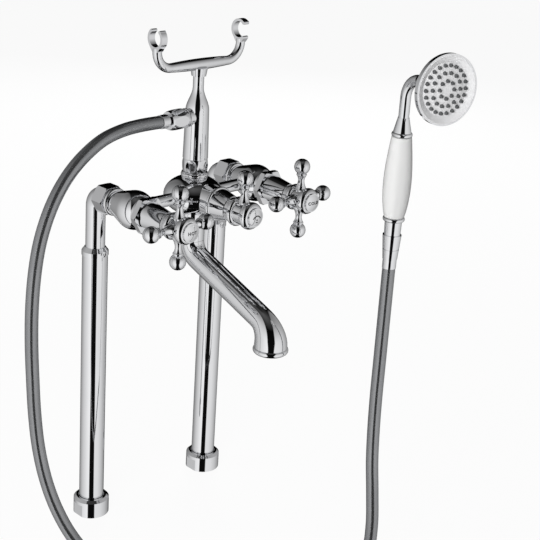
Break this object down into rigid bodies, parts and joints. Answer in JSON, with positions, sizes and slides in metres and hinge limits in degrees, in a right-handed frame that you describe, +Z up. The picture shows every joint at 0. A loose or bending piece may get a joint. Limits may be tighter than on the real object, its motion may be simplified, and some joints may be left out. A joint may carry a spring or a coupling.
{
  "type": "bath shower mixer",
  "caption": "Floor standing bath shower mixer with cross-head taps, a diverter with one lever, a swivel spout, a column with a cradle, and a hand shower on a smooth hose.",
  "frame": {"origin": "on the floor, midway between the two foot nuts", "axes": "+X to the cold tap, -Y to the front where the spout and handles point, +Z up along the legs"},
  "size_m": [0.3683, 0.3821, 0.6074],
  "materials": {
    "polished_chrome": "polished chrome plate on brass",
    "plain_brass": "machined, unplated, inside the fitting",
    "disc_ceramic": "lapped",
    "black_rubber": "matt seal",
    "white_porcelain": "white glaze",
    "white_plastic": "smooth white",
    "grey_rubber": "soft grey nozzle rubber",
    "grey_plastic": "moulded grid",
    "silver_hose": "smooth silver hose skin"
  },
  "bodies": {
    "mixer": {"hot_leg_sleeve": "polished_chrome", "cold_leg_sleeve": "polished_chrome", "hot_leg_elbow": "polished_chrome", "cold_leg_elbow": "polished_chrome", "set_screws": "polished_chrome", "hot_foot_nut": "polished_chrome", "cold_foot_nut": "polished_chrome", "foot_washers": "black_rubber", "hot_union_nut": "polished_chrome", "cold_union_nut": "polished_chrome", "union_washers": "black_rubber", "hot_valve_body": "polished_chrome", "cold_valve_body": "polished_chrome", "hot_headwork": "plain_brass", "cold_headwork": "plain_brass", "seat_discs": "disc_ceramic", "hot_bonnet": "polished_chrome", "cold_bonnet": "polished_chrome", "hot_crossbar": "polished_chrome", "cold_crossbar": "polished_chrome", "centre_body": "polished_chrome", "diverter_headwork": "plain_brass", "diverter_bonnet": "polished_chrome", "column_nut": "polished_chrome", "column_clip": "plain_brass", "column": "polished_chrome", "cradle_stud": "plain_brass", "outlet_hose_nut": "polished_chrome", "outlet_washer": "black_rubber", "outlet_ferrule": "polished_chrome", "shower_hose": "silver_hose"},
    "hot_handle": {"hot_turning_disc": "disc_ceramic", "hot_spindle": "plain_brass", "hot_handle": "polished_chrome", "hot_handle_cap": "polished_chrome", "hot_handle_screw": "plain_brass"},
    "cold_handle": {"cold_turning_disc": "disc_ceramic", "cold_spindle": "plain_brass", "cold_handle": "polished_chrome", "cold_handle_cap": "polished_chrome", "cold_handle_screw": "plain_brass"},
    "diverter": {"diverter_spindle": "plain_brass", "diverter_plate": "disc_ceramic", "diverter_knob": "polished_chrome", "diverter_cap": "polished_chrome", "diverter_screw": "plain_brass"},
    "spout": {"spout": "polished_chrome", "spout_o_rings": "black_rubber", "aerator_housing": "polished_chrome", "aerator_insert": "grey_plastic"},
    "cradle": {"cradle": "polished_chrome"},
    "handset": {"handset_hose_ferrule": "polished_chrome", "handset_hose_nut": "polished_chrome", "handset_lower_ferrule": "polished_chrome", "handset_grip": "white_porcelain", "handset_tube": "polished_chrome", "handset_upper_ferrule": "polished_chrome", "head_shell": "polished_chrome", "spray_plate": "white_plastic", "spray_nozzles": "grey_rubber"}
  },
  "joints": [
    {"name": "hot_handle_turn", "type": "hinge", "parent": "mixer", "child": "hot_handle", "pos_m": [-0.09, -0.141, 0.4], "axis": [0, -1, 0], "range_deg": [0, 90]},
    {"name": "cold_handle_turn", "type": "hinge", "parent": "mixer", "child": "cold_handle", "pos_m": [0.09, -0.141, 0.4], "axis": [0, -1, 0], "range_deg": [-90, 0]},
    {"name": "diverter_turn", "type": "hinge", "parent": "mixer", "child": "diverter", "pos_m": [0, -0.141, 0.4], "axis": [0, -1, 0], "range_deg": [0, 68]},
    {"name": "spout_swivel", "type": "hinge", "parent": "mixer", "child": "spout", "pos_m": [0, -0.061, 0.348], "axis": [0, 0, 1], "range_deg": [-75, 75]},
    {"name": "cradle_swivel", "type": "hinge", "parent": "mixer", "child": "cradle", "pos_m": [0, -0.061, 0.535], "axis": [0, 0, 1], "range_deg": [-90, 90]},
    {"name": "handset_lift", "type": "slide", "parent": "mixer", "child": "handset", "axis": [0, 0, 1], "range_m": [0, 0.15], "deforming": ["shower_hose"]}
  ]
}
